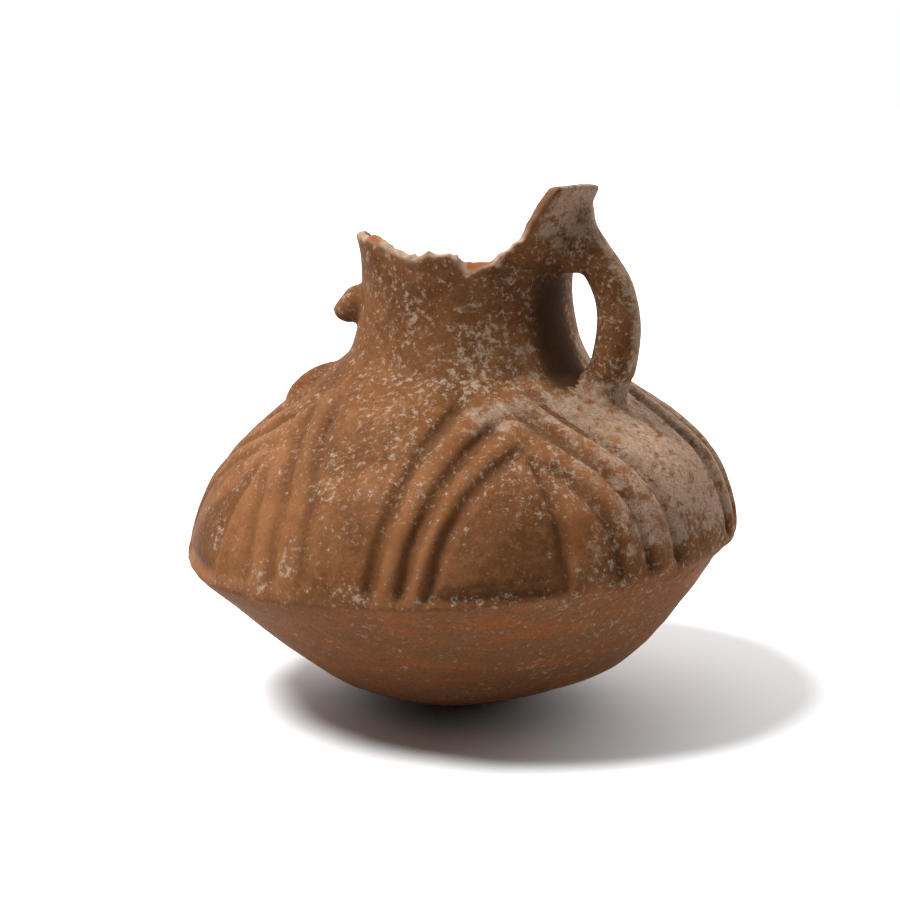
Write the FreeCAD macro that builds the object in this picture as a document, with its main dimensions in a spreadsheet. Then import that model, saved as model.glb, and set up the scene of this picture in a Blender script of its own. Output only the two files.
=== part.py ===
import FreeCAD, Part
import math
import os
import Sketcher

Vector = FreeCAD.Vector

# Driving sizes in millimetres and degrees. Heights are above the surface that the jug rests on,
# apart from those of the bowl's own outline, which are along its slightly leaning axis.
# Azimuths are in plan, counted from the front of the jug (-Y) towards its right (+X).
SIZES = {
    # Bowl: a rounded base, a shallow cone up to the sharp waist, and a domed shoulder
    "bowl_radius": 106.0,
    "bowl_waist_height": 62.6,
    "bowl_wall": 5.5,
    "bowl_lean": 3.4,
    "base_curve": 125.0,
    "heel_curve": 30.0,
    "cone_slope": 46.0,
    "shoulder_curve": 52.0,
    "shoulder_lean": 0.0,
    "shoulder_slope": 36.0,
    "waist_rounding": 2.4,
    "rest_radius": 16.0,
    "top_clearance": 2.5,
    # Neck: a waisted tube that opens like a trumpet, set a little off the bowl's axis
    "neck_offset": 5.0,
    "neck_wall": 5.0,
    "throat_radius": 39.7,
    "throat_height": 159.0,
    "foot_flare_curve": 58.0,
    "mouth_flare_curve": 69.0,
    "rim_height": 201.0,
    "neck_foot_drop": 36.0,
    # Handle: a round strap from the rim down to the shoulder
    "handle_azimuth": 60.0,
    "handle_diameter": 14.8,
    "handle_reach": 63.3,
    "handle_bow_height": 150.0,
    "handle_upper_bend": 35.0,
    "handle_lower_bend": 80.0,
    "handle_pitch": 31.0,
    "handle_top_reach": 43.0,
    "handle_root_height": 114.0,
    "handle_root_blend": 7.0,
    # Broken stub on the neck, and the low lug on the shoulder under it
    "stub_azimuth": -95.0,
    "stub_height": 150.2,
    "stub_reach": 51.8,
    "stub_radius": 4.9,
    "stub_blend": 3.5,
    "lug_reach": 57.5,
    "lug_height": 119.8,
    "lug_length": 28.0,
    "lug_width": 16.0,
    "lug_thickness": 15.0,
    "lug_tilt": 32.0,
    # Carved flutes of the chevrons
    "flute_depth": 1.9,
    "flute_radius": 4.0,
    "flute_foot_rise": 5.0,
    "flute_top_fade": 1.2,
    "panel_foot_depth": 2.1,
    "panel_foot_radius": 3.4,
    "panel_foot_rise": 3.8,
    "panel_foot_overlap": 1.5,
}

# Each flute of a chevron: how far out from the bowl's axis it starts, the azimuth of that upper end
# and the azimuth of its foot, both counted from the middle of its chevron.
FLUTES = {
    "left_outer": (54.0, -11.0, -33.5),
    "left_middle": (64.0, 0.0, -27.0),
    "left_inner": (75.0, 5.0, -21.5),
    "right_inner": (77.0, 4.0, 5.5),
    "right_second": (83.0, 6.5, 18.0),
    "right_third": (60.0, 5.0, 25.0),
    "right_outer": (55.0, 14.5, 33.0),
}
CHEVRON_AZIMUTHS = (15.0, 104.0, 199.0, 294.0)

# Where a flute's steeper lower bend meets its upper one, as a share of its length in plan from the top
FLUTE_BEND_SHARE = 0.42

# The broken edge of the neck, once round: azimuth, then how far below the whole rim's height the
# outer and the inner edge of the broken wall lie. A drop below zero leaves the rim whole there.
BREAK_EDGE = (
    (-100.0, 24.0, 23.0),
    (-88.0, 20.5, 20.0),
    (-76.0, 21.0, 19.0),
    (-68.0, 23.0, 20.0),
    (-50.0, 26.0, 23.0),
    (-36.0, 28.5, 25.5),
    (-29.0, 27.0, 25.5),
    (-19.0, 24.0, 24.5),
    (-10.0, 23.5, 24.0),
    (-6.5, 27.0, 25.0),
    (-5.5, 30.5, 28.5),
    (-1.0, 32.0, 29.5),
    (5.0, 30.5, 28.0),
    (16.0, 26.5, 23.5),
    (25.0, 21.5, 18.5),
    (31.5, 16.0, 12.5),
    (35.5, 11.0, 9.0),
    (37.5, -3.0, -3.0),
    (65.0, -3.0, -3.0),
    (69.0, 10.0, 10.0),
    (78.0, 22.0, 22.5),
    (92.0, 31.0, 32.0),
    (112.0, 37.0, 38.0),
    (140.0, 45.0, 46.0),
    (176.0, 50.0, 51.5),
    (205.0, 49.0, 50.0),
    (228.0, 42.0, 43.0),
    (246.0, 33.0, 34.0),
)

# The ring that is taken off above the broken edge reaches from inside the bore to outside the mouth
BREAK_RING_INSIDE = 0.5
BREAK_RING_OUTSIDE = 1.6

doc = FreeCAD.newDocument("CeramicJug")
sheet = doc.addObject("Spreadsheet::Sheet", "Sizes")
for row, (alias, number) in enumerate(SIZES.items(), start=1):
    sheet.set("A%d" % row, alias)
    sheet.set("B%d" % row, str(number))
    sheet.setAlias("B%d" % row, alias)
doc.recompute()


def size(alias):
    """The number that the spreadsheet holds under this alias."""
    return float(getattr(sheet, alias))


def polar(radius, azimuth, height=0.0):
    """A point from its distance to the vertical axis, its azimuth and its height."""
    angle = math.radians(azimuth)
    return Vector(radius * math.sin(angle), -radius * math.cos(angle), height)


def new_body(name):
    body = doc.addObject("PartDesign::Body", name)
    body.Label = name
    return body


def profile_sketch(body, name):
    """A sketch on the body's own XZ plane, with radius across and height up."""
    sketch = body.newObject("Sketcher::SketchObject", name)
    plane = [item for item in body.Origin.OriginFeatures if item.Role == "XZ_Plane"][0]
    sketch.AttachmentSupport = [(plane, "")]
    sketch.MapMode = "FlatFace"
    return sketch


def constrain(sketch, kind, *places, name=None, value=None, formula=None):
    """Add one constraint, named and bound to the spreadsheet where it has a size."""
    if formula is None:
        return sketch.addConstraint(Sketcher.Constraint(kind, *places))
    index = sketch.addConstraint(Sketcher.Constraint(kind, *places, value))
    sketch.renameConstraint(index, name)
    sketch.setExpression("Constraints." + name, formula)
    return index


def revolve(body, sketch, name):
    feature = body.newObject("PartDesign::Revolution", name)
    feature.Profile = sketch
    feature.ReferenceAxis = (sketch, ["V_Axis"])
    feature.Angle = 360.0
    doc.recompute()
    return feature


# Ends of a sketch line or arc, and the sketch's own axes, as the sketcher numbers them
START = 1
END = 2
CENTRE = 3
ROOT_POINT = -1
WIDTH_AXIS = -1
HEIGHT_AXIS = -2


def arc(centre_x, centre_y, radius, first_angle, last_angle):
    """An arc given by its centre, radius and end angles in degrees, counterclockwise."""
    circle = Part.Circle(Vector(centre_x, centre_y, 0), Vector(0, 0, 1), radius)
    return Part.ArcOfCircle(circle, math.radians(first_angle), math.radians(last_angle))


def line(first, last):
    return Part.LineSegment(Vector(first[0], first[1], 0), Vector(last[0], last[1], 0))


def shoulder_centre():
    """Centre of the domed shoulder's arc, in the bowl's outline."""
    lean = math.radians(size("shoulder_lean"))
    return (
        size("bowl_radius") - size("shoulder_curve") * math.cos(lean),
        size("bowl_waist_height") - size("shoulder_curve") * math.sin(lean),
    )


def bowl_outline(body, name, inset_alias):
    """Half outline of the bowl from the axis under the base to the shoulder inside the neck.

    With an inset it is the outline of the hollow, that much inside the outer one everywhere.
    """
    inset = 0.0 if inset_alias is None else size(inset_alias)
    inset_formula = "0" if inset_alias is None else "Sizes." + inset_alias
    waist = (size("bowl_radius"), size("bowl_waist_height"))
    base_curve = size("base_curve")
    heel_curve = size("heel_curve")
    slope = math.radians(size("cone_slope"))
    along = (math.cos(slope), math.sin(slope))
    inward = (-math.sin(slope), math.cos(slope))

    # The heel's arc touches the base's arc and the cone, which runs through the waist's corner
    to_base_centre = (-waist[0], base_curve - waist[1])
    base_centre_depth = to_base_centre[0] * inward[0] + to_base_centre[1] * inward[1]
    base_centre_run = to_base_centre[0] * along[0] + to_base_centre[1] * along[1]
    centre_gap = base_curve - heel_curve
    depth_gap = base_centre_depth - heel_curve
    heel_run = base_centre_run - math.sqrt(centre_gap ** 2 - depth_gap ** 2)
    heel_centre = (
        waist[0] + along[0] * heel_run + inward[0] * heel_curve,
        waist[1] + along[1] * heel_run + inward[1] * heel_curve,
    )
    heel_angle = math.degrees(math.atan2(heel_centre[1] - base_curve, heel_centre[0]))
    cone_angle = size("cone_slope") - 90.0
    shoulder = shoulder_centre()
    top_angle = 90.0 - size("shoulder_slope")
    shoulder_radius = size("shoulder_curve") - inset
    shoulder_top = (
        shoulder[0] + shoulder_radius * math.cos(math.radians(top_angle)),
        shoulder[1] + shoulder_radius * math.sin(math.radians(top_angle)),
    )
    rise = math.tan(math.radians(size("shoulder_slope")))
    top_radius = size("throat_radius") - size("neck_wall") - size("neck_offset")
    top_radius -= size("top_clearance") + inset
    top_height = shoulder_top[1] + (shoulder_top[0] - top_radius) * rise

    # The small arc at the waist touches the cone and the dome; the hollow has a plain corner there
    rounding = size("waist_rounding") if inset_alias is None else 0.0
    corner_depth = inset + rounding
    to_shoulder = (shoulder[0] - waist[0], shoulder[1] - waist[1])
    shoulder_depth = to_shoulder[0] * inward[0] + to_shoulder[1] * inward[1]
    shoulder_run = to_shoulder[0] * along[0] + to_shoulder[1] * along[1]
    corner_run = shoulder_run + math.sqrt(
        (shoulder_radius - rounding) ** 2 - (shoulder_depth - corner_depth) ** 2)
    corner_centre = (
        waist[0] + along[0] * corner_run + inward[0] * corner_depth,
        waist[1] + along[1] * corner_run + inward[1] * corner_depth,
    )
    cone_end = (
        corner_centre[0] - inward[0] * rounding,
        corner_centre[1] - inward[1] * rounding,
    )
    dome_angle = math.degrees(
        math.atan2(corner_centre[1] - shoulder[1], corner_centre[0] - shoulder[0]))
    heel_end = (
        heel_centre[0] - inward[0] * (heel_curve - inset),
        heel_centre[1] - inward[1] * (heel_curve - inset),
    )

    sketch = profile_sketch(body, name)
    base = sketch.addGeometry(arc(0, base_curve, base_curve - inset, -90.0, heel_angle), False)
    heel = sketch.addGeometry(
        arc(heel_centre[0], heel_centre[1], heel_curve - inset, heel_angle, cone_angle), False)
    cone = sketch.addGeometry(line(heel_end, cone_end), False)
    dome = sketch.addGeometry(
        arc(shoulder[0], shoulder[1], shoulder_radius, dome_angle, top_angle), False)
    slope_line = sketch.addGeometry(line(shoulder_top, (top_radius, top_height)), False)
    lid = sketch.addGeometry(line((top_radius, top_height), (0, top_height)), False)
    axis = sketch.addGeometry(line((0, top_height), (0, inset)), False)
    corner = sketch.addGeometry(Part.Point(Vector(waist[0], waist[1], 0)), True)

    constrain(sketch, "PointOnObject", base, CENTRE, HEIGHT_AXIS)
    constrain(sketch, "PointOnObject", base, START, HEIGHT_AXIS)
    constrain(sketch, "DistanceY", ROOT_POINT, START, base, CENTRE, name="base_centre",
              value=base_curve, formula="Sizes.base_curve")
    constrain(sketch, "Radius", base, name="base_radius",
              value=base_curve - inset, formula="Sizes.base_curve - " + inset_formula)
    constrain(sketch, "Tangent", base, END, heel, START)
    constrain(sketch, "Radius", heel, name="heel_radius",
              value=heel_curve - inset, formula="Sizes.heel_curve - " + inset_formula)
    constrain(sketch, "Tangent", heel, END, cone, START)
    constrain(sketch, "Angle", cone, name="cone_angle",
              value=math.radians(size("cone_slope")), formula="Sizes.cone_slope")
    constrain(sketch, "DistanceX", ROOT_POINT, START, corner, START, name="corner_radius",
              value=waist[0], formula="Sizes.bowl_radius")
    constrain(sketch, "DistanceY", ROOT_POINT, START, corner, START, name="corner_height",
              value=waist[1], formula="Sizes.bowl_waist_height")
    if inset_alias is None:
        constrain(sketch, "PointOnObject", corner, START, cone)
    else:
        constrain(sketch, "Distance", corner, START, cone, name="corner_inset",
                  value=inset, formula=inset_formula)
    constrain(sketch, "DistanceX", ROOT_POINT, START, dome, CENTRE, name="dome_centre_radius",
              value=shoulder[0],
              formula="Sizes.bowl_radius - Sizes.shoulder_curve * cos(Sizes.shoulder_lean * 1deg)")
    constrain(sketch, "DistanceY", ROOT_POINT, START, dome, CENTRE, name="dome_centre_height",
              value=shoulder[1],
              formula="Sizes.bowl_waist_height - Sizes.shoulder_curve * sin(Sizes.shoulder_lean * 1deg)")
    constrain(sketch, "Radius", dome, name="dome_radius",
              value=shoulder_radius, formula="Sizes.shoulder_curve - " + inset_formula)
    if inset_alias is None:
        edge = sketch.addGeometry(
            arc(corner_centre[0], corner_centre[1], rounding, cone_angle, dome_angle), False)
        constrain(sketch, "Tangent", cone, END, edge, START)
        constrain(sketch, "Tangent", edge, END, dome, START)
        constrain(sketch, "Radius", edge, name="waist_rounding",
                  value=rounding, formula="Sizes.waist_rounding")
    else:
        constrain(sketch, "Coincident", cone, END, dome, START)
    constrain(sketch, "Tangent", dome, END, slope_line, START)
    constrain(sketch, "Angle", slope_line, name="slope_angle",
              value=math.radians(180.0 - size("shoulder_slope")),
              formula="180 - Sizes.shoulder_slope")
    constrain(sketch, "DistanceX", ROOT_POINT, START, slope_line, END, name="top_radius",
              value=top_radius,
              formula="Sizes.throat_radius - Sizes.neck_wall - Sizes.neck_offset"
              " - Sizes.top_clearance - " + inset_formula)
    constrain(sketch, "Coincident", slope_line, END, lid, START)
    constrain(sketch, "Horizontal", lid)
    constrain(sketch, "PointOnObject", lid, END, HEIGHT_AXIS)
    constrain(sketch, "Coincident", lid, END, axis, START)
    constrain(sketch, "Coincident", axis, END, base, START)
    return sketch


def neck_outline(body, name, inset_alias):
    """Half outline of the neck: a foot that flares over the shoulder, a waist, and an open mouth.

    With an inset it is the outline of the bore, which also runs on past both ends.
    """
    inset = 0.0 if inset_alias is None else size(inset_alias)
    inset_formula = "0" if inset_alias is None else "Sizes." + inset_alias
    throat = (size("throat_radius") - inset, size("throat_height"))
    foot_centre = size("throat_radius") + size("foot_flare_curve")
    mouth_centre = size("throat_radius") + size("mouth_flare_curve")
    foot_radius = size("foot_flare_curve") + inset
    mouth_radius = size("mouth_flare_curve") + inset
    foot_drop = size("neck_foot_drop") + inset
    rim_rise = size("rim_height") + inset - throat[1]
    foot_angle = math.degrees(math.asin(foot_drop / foot_radius))
    mouth_angle = math.degrees(math.asin(rim_rise / mouth_radius))
    foot_end = (foot_centre - foot_radius * math.cos(math.radians(foot_angle)), throat[1] - foot_drop)
    rim_end = (mouth_centre - mouth_radius * math.cos(math.radians(mouth_angle)), throat[1] + rim_rise)

    sketch = profile_sketch(body, name)
    foot = sketch.addGeometry(
        arc(foot_centre, throat[1], foot_radius, 180.0, 180.0 + foot_angle), False)
    mouth = sketch.addGeometry(
        arc(mouth_centre, throat[1], mouth_radius, 180.0 - mouth_angle, 180.0), False)
    rim = sketch.addGeometry(line(rim_end, (0, rim_end[1])), False)
    axis = sketch.addGeometry(line((0, rim_end[1]), (0, foot_end[1])), False)
    floor = sketch.addGeometry(line((0, foot_end[1]), foot_end), False)

    constrain(sketch, "DistanceX", ROOT_POINT, START, foot, CENTRE, name="foot_centre_radius",
              value=foot_centre, formula="Sizes.throat_radius + Sizes.foot_flare_curve")
    constrain(sketch, "DistanceY", ROOT_POINT, START, foot, CENTRE, name="foot_centre_height",
              value=throat[1], formula="Sizes.throat_height")
    constrain(sketch, "Radius", foot, name="foot_radius",
              value=foot_radius, formula="Sizes.foot_flare_curve + " + inset_formula)
    constrain(sketch, "DistanceY", ROOT_POINT, START, foot, START, name="throat_level",
              value=throat[1], formula="Sizes.throat_height")
    constrain(sketch, "Coincident", foot, START, mouth, END)
    constrain(sketch, "DistanceY", ROOT_POINT, START, mouth, CENTRE, name="mouth_centre_height",
              value=throat[1], formula="Sizes.throat_height")
    constrain(sketch, "Radius", mouth, name="mouth_radius",
              value=mouth_radius, formula="Sizes.mouth_flare_curve + " + inset_formula)
    constrain(sketch, "DistanceY", ROOT_POINT, START, mouth, START, name="rim_level",
              value=rim_end[1], formula="Sizes.rim_height + " + inset_formula)
    constrain(sketch, "DistanceY", ROOT_POINT, START, foot, END, name="foot_level",
              value=foot_end[1], formula="Sizes.throat_height - Sizes.neck_foot_drop - " + inset_formula)
    constrain(sketch, "Coincident", mouth, START, rim, START)
    constrain(sketch, "Horizontal", rim)
    constrain(sketch, "PointOnObject", rim, END, HEIGHT_AXIS)
    constrain(sketch, "Coincident", rim, END, axis, START)
    constrain(sketch, "PointOnObject", axis, END, HEIGHT_AXIS)
    constrain(sketch, "Coincident", axis, END, floor, START)
    constrain(sketch, "Horizontal", floor)
    constrain(sketch, "Coincident", floor, END, foot, END)
    return sketch


def place_on_bowl_axis(item):
    """Lean a piece as the bowl leans, with the lowest spot of its base over the origin."""
    item.Placement = FreeCAD.Placement(Vector(), FreeCAD.Rotation(Vector(0, 1, 0), -1.0))
    item.setExpression("Placement.Rotation.Angle", "-Sizes.bowl_lean * 1deg")
    item.setExpression("Placement.Base.x", "Sizes.base_curve * sin(Sizes.bowl_lean * 1deg)")
    item.setExpression(
        "Placement.Base.z",
        "sqrt(Sizes.base_curve ^ 2 - Sizes.rest_radius ^ 2)"
        " - Sizes.base_curve * cos(Sizes.bowl_lean * 1deg)")


def place_on_neck_axis(item):
    item.setExpression("Placement.Base.x", "Sizes.neck_offset")


def make_bowl():
    """The turned bowl, solid, with its waist just rounded."""
    body = new_body("bowl")
    sketch = bowl_outline(body, "BowlOutline", None)
    revolve(body, sketch, "BowlTurned")
    place_on_bowl_axis(body)
    return body


def make_bowl_hollow():
    body = new_body("bowl_hollow")
    sketch = bowl_outline(body, "BowlHollowOutline", "bowl_wall")
    revolve(body, sketch, "BowlHollowTurned")
    place_on_bowl_axis(body)
    return body


def make_neck():
    body = new_body("neck")
    sketch = neck_outline(body, "NeckOutline", None)
    revolve(body, sketch, "NeckTurned")
    place_on_neck_axis(body)
    return body


def make_neck_bore():
    body = new_body("neck_bore")
    sketch = neck_outline(body, "NeckBoreOutline", "neck_wall")
    revolve(body, sketch, "NeckBoreTurned")
    place_on_neck_axis(body)
    return body


def place_in_azimuth(item, azimuth_alias, height_alias=None):
    """Turn a piece drawn in the XZ plane into its azimuth round the neck's axis."""
    item.Placement = FreeCAD.Placement(Vector(), FreeCAD.Rotation(Vector(0, 0, 1), 1.0))
    item.setExpression("Placement.Rotation.Angle", "(Sizes.%s - 90) * 1deg" % azimuth_alias)
    item.setExpression("Placement.Base.x", "Sizes.neck_offset")
    if height_alias is not None:
        item.setExpression("Placement.Base.z", "Sizes." + height_alias)


def handle_path(body):
    """The handle's middle line: straight off the rim, round the bow, and in towards the shoulder."""
    bow = (size("handle_reach"), size("handle_bow_height"))
    upper_bend = size("handle_upper_bend")
    lower_bend = size("handle_lower_bend")
    pitch = math.radians(size("handle_pitch"))
    bend_end = (
        bow[0] - upper_bend + upper_bend * math.cos(pitch),
        bow[1] + upper_bend * math.sin(pitch),
    )
    top_rise = (bend_end[0] - size("handle_top_reach")) / math.tan(pitch)
    top = (size("handle_top_reach"), bend_end[1] + top_rise)
    root_angle = math.degrees(math.asin((bow[1] - size("handle_root_height")) / lower_bend))

    sketch = profile_sketch(body, "HandlePath")
    upper = sketch.addGeometry(
        arc(bow[0] - upper_bend, bow[1], upper_bend, 0.0, size("handle_pitch")), False)
    lower = sketch.addGeometry(arc(bow[0] - lower_bend, bow[1], lower_bend, -root_angle, 0.0), False)
    straight = sketch.addGeometry(line(bend_end, top), False)
    constrain(sketch, "DistanceX", ROOT_POINT, START, upper, START, name="reach",
              value=bow[0], formula="Sizes.handle_reach")
    constrain(sketch, "DistanceY", ROOT_POINT, START, upper, CENTRE, name="bow_height",
              value=bow[1], formula="Sizes.handle_bow_height")
    constrain(sketch, "DistanceY", ROOT_POINT, START, upper, START, name="bow_level",
              value=bow[1], formula="Sizes.handle_bow_height")
    constrain(sketch, "Radius", upper, name="upper_bend",
              value=upper_bend, formula="Sizes.handle_upper_bend")
    constrain(sketch, "Coincident", lower, END, upper, START)
    constrain(sketch, "DistanceY", ROOT_POINT, START, lower, CENTRE, name="lower_centre_height",
              value=bow[1], formula="Sizes.handle_bow_height")
    constrain(sketch, "Radius", lower, name="lower_bend",
              value=lower_bend, formula="Sizes.handle_lower_bend")
    constrain(sketch, "DistanceY", ROOT_POINT, START, lower, START, name="root_height",
              value=size("handle_root_height"), formula="Sizes.handle_root_height")
    constrain(sketch, "Tangent", upper, END, straight, START)
    constrain(sketch, "Angle", straight, name="straight_angle",
              value=pitch + math.pi / 2.0, formula="90 + Sizes.handle_pitch")
    constrain(sketch, "DistanceX", ROOT_POINT, START, straight, END, name="top_reach",
              value=top[0], formula="Sizes.handle_top_reach")
    return sketch


def make_handle():
    body = new_body("handle")
    path = handle_path(body)
    doc.recompute()
    section = body.newObject("Sketcher::SketchObject", "HandleSection")
    section.AttachmentSupport = [(path, "Edge2")]
    section.MapMode = "NormalToEdge"
    section.MapPathParameter = 0.0
    circle = section.addGeometry(
        Part.Circle(Vector(), Vector(0, 0, 1), size("handle_diameter") / 2.0), False)
    constrain(section, "Coincident", circle, CENTRE, ROOT_POINT, START)
    constrain(section, "Diameter", circle, name="diameter",
              value=size("handle_diameter"), formula="Sizes.handle_diameter")
    doc.recompute()
    strap = body.newObject("PartDesign::AdditivePipe", "HandleStrap")
    strap.Profile = section
    strap.Spine = (path, ["Edge2", "Edge1", "Edge3"])
    body.Tip = strap
    place_in_azimuth(body, "handle_azimuth")
    return body


def make_stub():
    """What is left of a broken strap on the neck: a rounded peg with a flared root."""
    body = new_body("stub")
    radius = size("stub_radius")
    blend = size("stub_blend")
    root = size("throat_radius") - size("neck_wall") / 4.0
    inside = size("throat_radius") - size("neck_wall") / 2.0
    reach = size("stub_reach")
    sketch = profile_sketch(body, "StubOutline")
    tip = sketch.addGeometry(arc(reach - radius, 0, radius, 0.0, 90.0), False)
    side = sketch.addGeometry(line((reach - radius, radius), (root + blend, radius)), False)
    flare = sketch.addGeometry(arc(root + blend, radius + blend, blend, 180.0, 270.0), False)
    step = sketch.addGeometry(line((root, radius + blend), (inside, radius + blend)), False)
    back = sketch.addGeometry(line((inside, radius + blend), (inside, 0)), False)
    axis = sketch.addGeometry(line((inside, 0), (reach, 0)), False)
    constrain(sketch, "PointOnObject", tip, CENTRE, WIDTH_AXIS)
    constrain(sketch, "PointOnObject", tip, START, WIDTH_AXIS)
    constrain(sketch, "DistanceX", ROOT_POINT, START, tip, START, name="reach",
              value=reach, formula="Sizes.stub_reach")
    constrain(sketch, "Radius", tip, name="tip_radius", value=radius, formula="Sizes.stub_radius")
    constrain(sketch, "Tangent", tip, END, side, START)
    constrain(sketch, "Horizontal", side)
    constrain(sketch, "Tangent", side, END, flare, END)
    constrain(sketch, "Radius", flare, name="flare_radius", value=blend, formula="Sizes.stub_blend")
    constrain(sketch, "DistanceX", ROOT_POINT, START, flare, START, name="root",
              value=root, formula="Sizes.throat_radius - Sizes.neck_wall / 4")
    constrain(sketch, "Perpendicular", flare, START, step, START)
    constrain(sketch, "Horizontal", step)
    constrain(sketch, "Coincident", step, END, back, START)
    constrain(sketch, "Vertical", back)
    constrain(sketch, "DistanceX", ROOT_POINT, START, back, END, name="inside",
              value=inside, formula="Sizes.throat_radius - Sizes.neck_wall / 2")
    constrain(sketch, "PointOnObject", back, END, WIDTH_AXIS)
    constrain(sketch, "Coincident", back, END, axis, START)
    constrain(sketch, "Coincident", axis, END, tip, START)
    turned = body.newObject("PartDesign::Revolution", "StubTurned")
    turned.Profile = sketch
    turned.ReferenceAxis = (sketch, ["H_Axis"])
    turned.Angle = 360.0
    place_in_azimuth(body, "stub_azimuth", "stub_height")
    return body


def make_lug():
    """The low worn lug on the shoulder, below the stub."""
    lug = doc.addObject("Part::Ellipsoid", "lug")
    lug.Label = "lug"
    lug.setExpression("Radius1", "Sizes.lug_thickness / 2")
    lug.setExpression("Radius2", "Sizes.lug_length / 2")
    lug.setExpression("Radius3", "Sizes.lug_width / 2")
    place = polar(size("lug_reach"), size("stub_azimuth"), size("lug_height"))
    turn = FreeCAD.Rotation(Vector(0, 0, 1), size("stub_azimuth") - 90.0)
    tilt = FreeCAD.Rotation(Vector(0, 1, 0), size("lug_tilt"))
    lug.Placement = FreeCAD.Placement(place + Vector(size("neck_offset"), 0, 0), turn * tilt)
    return lug


def shoulder_place(radius, azimuth, lift):
    """A point over the shoulder, lifted off its surface, in the bowl's own frame."""
    centre = shoulder_centre()
    curve = size("shoulder_curve")
    top_angle = math.radians(90.0 - size("shoulder_slope"))
    cone_radius = centre[0] + curve * math.cos(top_angle)
    if radius > cone_radius:
        angle = math.acos((radius - centre[0]) / curve)
        height = centre[1] + curve * math.sin(angle)
    else:
        angle = top_angle
        height = centre[1] + curve * math.sin(top_angle)
        height += (cone_radius - radius) * math.tan(math.radians(size("shoulder_slope")))
    return polar(radius + lift * math.cos(angle), azimuth, height + lift * math.sin(angle))


def tangent_arc(first, direction, last):
    """The arc that leaves its first point along a direction and ends at the last one."""
    chord = last - first
    along = Vector(direction).normalize()
    across = chord - along * chord.dot(along)
    radius = chord.Length ** 2 / (2.0 * across.Length)
    centre = first + across.normalize() * radius
    middle = ((first - centre) + (last - centre)).normalize() * radius + centre
    return Part.Arc(first, middle, last)


def shoulder_radius_at(rise):
    """How far the shoulder is from the bowl's axis, this far above the waist."""
    centre = shoulder_centre()
    height = size("bowl_waist_height") + rise
    angle = math.asin((height - centre[1]) / size("shoulder_curve"))
    return centre[0] + size("shoulder_curve") * math.cos(angle)


def round_bar(path_arcs, radius):
    """A solid round bar along arcs that meet smoothly."""
    first = path_arcs[0]
    start = first.value(first.FirstParameter)
    direction = first.tangent(first.FirstParameter)[0]
    section = Part.Wire([Part.makeCircle(radius, start, direction)])
    path = Part.Wire([curve.toShape() for curve in path_arcs])
    return path.makePipeShell([section], True, True)


def flute_tool(top_radius, top_azimuth, foot_azimuth):
    """A round bar laid along the shoulder, straight in plan, that carves one flute."""
    lift = size("flute_radius") - size("flute_depth")
    plan_top = polar(top_radius, top_azimuth)
    plan_foot = polar(shoulder_radius_at(size("flute_foot_rise")), foot_azimuth)

    def over_plan(share):
        place = plan_top + (plan_foot - plan_top) * share
        azimuth = math.degrees(math.atan2(place.x, -place.y))
        return shoulder_place(place.Length, azimuth, lift)

    bend = over_plan(FLUTE_BEND_SHARE)
    lower = Part.Arc(over_plan(1.0), over_plan((1.0 + FLUTE_BEND_SHARE) / 2.0), bend)
    direction = lower.tangent(lower.LastParameter)[0]
    top = shoulder_place(top_radius, top_azimuth, lift + size("flute_top_fade"))
    return round_bar([lower, tangent_arc(bend, direction, top)], size("flute_radius"))


def panel_foot_tool(first_azimuth, last_azimuth):
    """A bar along the waist that carves the foot of a chevron's inner panel."""
    lift = size("panel_foot_radius") - size("panel_foot_depth")
    radius = shoulder_radius_at(size("panel_foot_rise"))
    azimuths = (first_azimuth, (first_azimuth + last_azimuth) / 2.0, last_azimuth)
    curve = Part.Arc(*[shoulder_place(radius, azimuth, lift) for azimuth in azimuths])
    return round_bar([curve], size("panel_foot_radius"))


def make_flute_tools():
    """All the bars that carve the four chevrons, as one shape that leans with the bowl."""
    tools = []
    for chevron in CHEVRON_AZIMUTHS:
        for top_radius, top_azimuth, foot_azimuth in FLUTES.values():
            tools.append(flute_tool(top_radius, chevron + top_azimuth, chevron + foot_azimuth))
        panel_left = chevron + FLUTES["left_inner"][2] - size("panel_foot_overlap")
        panel_right = chevron + FLUTES["right_inner"][2] + size("panel_foot_overlap")
        tools.append(panel_foot_tool(panel_left, panel_right))
    feature = doc.addObject("Part::Feature", "flute_tools")
    feature.Label = "flute_tools"
    feature.Shape = tools[0].multiFuse(tools[1:])
    place_on_bowl_axis(feature)
    return feature


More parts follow.
